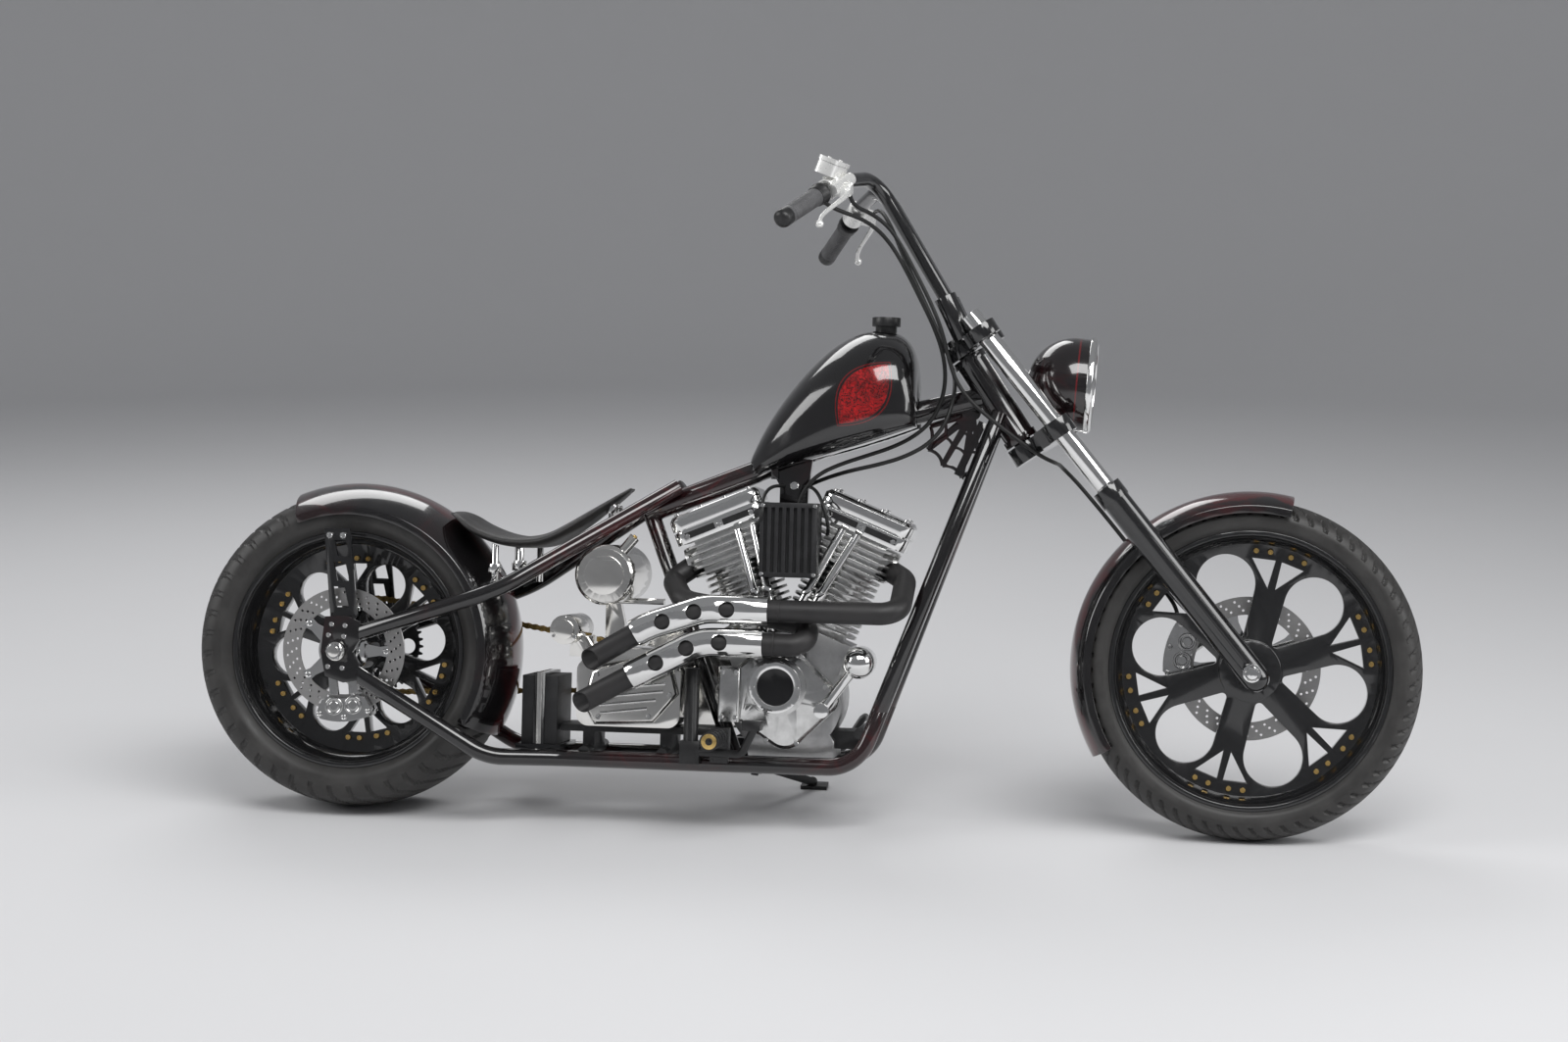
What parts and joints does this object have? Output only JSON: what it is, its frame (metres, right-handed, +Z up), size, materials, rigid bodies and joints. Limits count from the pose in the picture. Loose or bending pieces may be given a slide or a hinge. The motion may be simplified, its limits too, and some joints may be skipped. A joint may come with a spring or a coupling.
{
  "type": "chopper motorcycle",
  "caption": "Long-fork chopper motorcycle with a rigid tube frame and V-twin engine, parked leaning on its side stand.",
  "frame": {"origin": "centre of the parked motorcycle's box, on the road", "axes": "+X forward to the front wheel, +Y to the rider's left, +Z up"},
  "size_m": [2.5057, 0.9046, 1.3674],
  "materials": {
    "front_rim": "gloss black paint",
    "front_tyre": "matt tyre rubber",
    "front_disc": "ground steel",
    "rear_rim": "gloss black paint",
    "rear_tyre": "matt tyre rubber",
    "rear_disc": "ground steel",
    "rear_sprocket": "ground steel",
    "backbone": "gloss black paint",
    "down_tubes": "gloss black paint",
    "lower_rails": "gloss black paint",
    "lower_stays": "gloss black paint",
    "upper_stays": "gloss black paint",
    "seat_post": "gloss black paint",
    "fuel_tank": "gloss black paint",
    "fuel_cap": "gloss black paint",
    "seat": "black leather",
    "seat_mounts": "polished chrome",
    "rear_fender": "gloss black paint",
    "fender_struts": "gloss black paint",
    "front_fender": "gloss black paint",
    "fork_tubes": "polished chrome",
    "fork_lowers": "gloss black paint",
    "front_axle": "polished chrome",
    "rear_axle": "polished chrome",
    "front_caliper": "polished chrome",
    "rear_caliper": "polished cast aluminium",
    "grips": "matt rubber",
    "handlebar": "gloss black paint",
    "hand_controls": "polished chrome",
    "headlight_shell": "gloss black paint",
    "headlight_lens": "clear fluted glass",
    "headlight_ring": "polished chrome",
    "triple_trees": "gloss black paint",
    "crankcase": "polished cast aluminium",
    "cam_cover": "polished cast aluminium",
    "points_cover": "polished chrome",
    "cylinders": "polished cast aluminium",
    "rocker_boxes": "polished chrome",
    "pushrod_tubes": "polished chrome",
    "air_cleaner": "black ribbed plastic",
    "front_exhaust": "matt black heat coating",
    "rear_exhaust": "matt black heat coating",
    "heat_shields": "polished chrome",
    "oil_tank": "polished chrome",
    "gearbox": "polished cast aluminium",
    "battery": "black plastic case",
    "battery_tray": "polished chrome",
    "primary_cover": "polished cast aluminium",
    "chain": "gold plated steel links",
    "oil_filter": "polished chrome",
    "engine_mounts": "polished cast aluminium",
    "foot_pegs": "gloss black paint",
    "foot_controls": "gloss black paint",
    "side_stand": "gloss black paint",
    "stand_bracket": "gloss black paint"
  },
  "bodies": {
    "frame": {"backbone": "backbone", "down_tubes": "down_tubes", "lower_rails": "lower_rails", "lower_stays": "lower_stays", "upper_stays": "upper_stays", "seat_post": "seat_post", "fuel_tank": "fuel_tank", "fuel_cap": "fuel_cap", "seat": "seat", "seat_mounts": "seat_mounts", "rear_fender": "rear_fender", "fender_struts": "fender_struts", "rear_axle": "rear_axle", "rear_caliper": "rear_caliper", "crankcase": "crankcase", "cam_cover": "cam_cover", "points_cover": "points_cover", "cylinders": "cylinders", "rocker_boxes": "rocker_boxes", "pushrod_tubes": "pushrod_tubes", "air_cleaner": "air_cleaner", "front_exhaust": "front_exhaust", "rear_exhaust": "rear_exhaust", "heat_shields": "heat_shields", "oil_tank": "oil_tank", "gearbox": "gearbox", "battery": "battery", "battery_tray": "battery_tray", "primary_cover": "primary_cover", "chain": "chain", "oil_filter": "oil_filter", "engine_mounts": "engine_mounts", "foot_pegs": "foot_pegs", "foot_controls": "foot_controls", "stand_bracket": "stand_bracket"},
    "fork": {"triple_trees": "triple_trees", "fork_tubes": "fork_tubes", "fork_lowers": "fork_lowers", "front_axle": "front_axle", "front_caliper": "front_caliper", "handlebar": "handlebar", "grips": "grips", "hand_controls": "hand_controls", "headlight_shell": "headlight_shell", "headlight_lens": "headlight_lens", "headlight_ring": "headlight_ring", "front_fender": "front_fender"},
    "front_wheel": {"front_rim": "front_rim", "front_tyre": "front_tyre", "front_disc": "front_disc"},
    "rear_wheel": {"rear_rim": "rear_rim", "rear_tyre": "rear_tyre", "rear_disc": "rear_disc", "rear_sprocket": "rear_sprocket"},
    "side_stand": {"side_stand": "side_stand"}
  },
  "joints": [
    {"name": "steering", "type": "hinge", "parent": "frame", "child": "fork", "pos_m": [0.385, -0.05269, 0.86719], "axis": [-0.5592, 0.1297, 0.8188], "range_deg": [-34, 34]},
    {"name": "front_wheel_spin", "type": "hinge", "parent": "fork", "child": "front_wheel", "pos_m": [0.91, -0.13622, 0.33976], "axis": [0, 0.9877, -0.1564], "continuous": true},
    {"name": "rear_wheel_spin", "type": "hinge", "parent": "frame", "child": "rear_wheel", "pos_m": [-0.925, -0.13817, 0.32748], "axis": [0, 0.9877, -0.1564], "continuous": true},
    {"name": "stand_fold", "type": "hinge", "parent": "frame", "child": "side_stand", "pos_m": [-0.105, -0.02204, 0.08], "axis": [0.1076, 0.3748, 0.9208], "range_deg": [0, 110]}
  ]
}
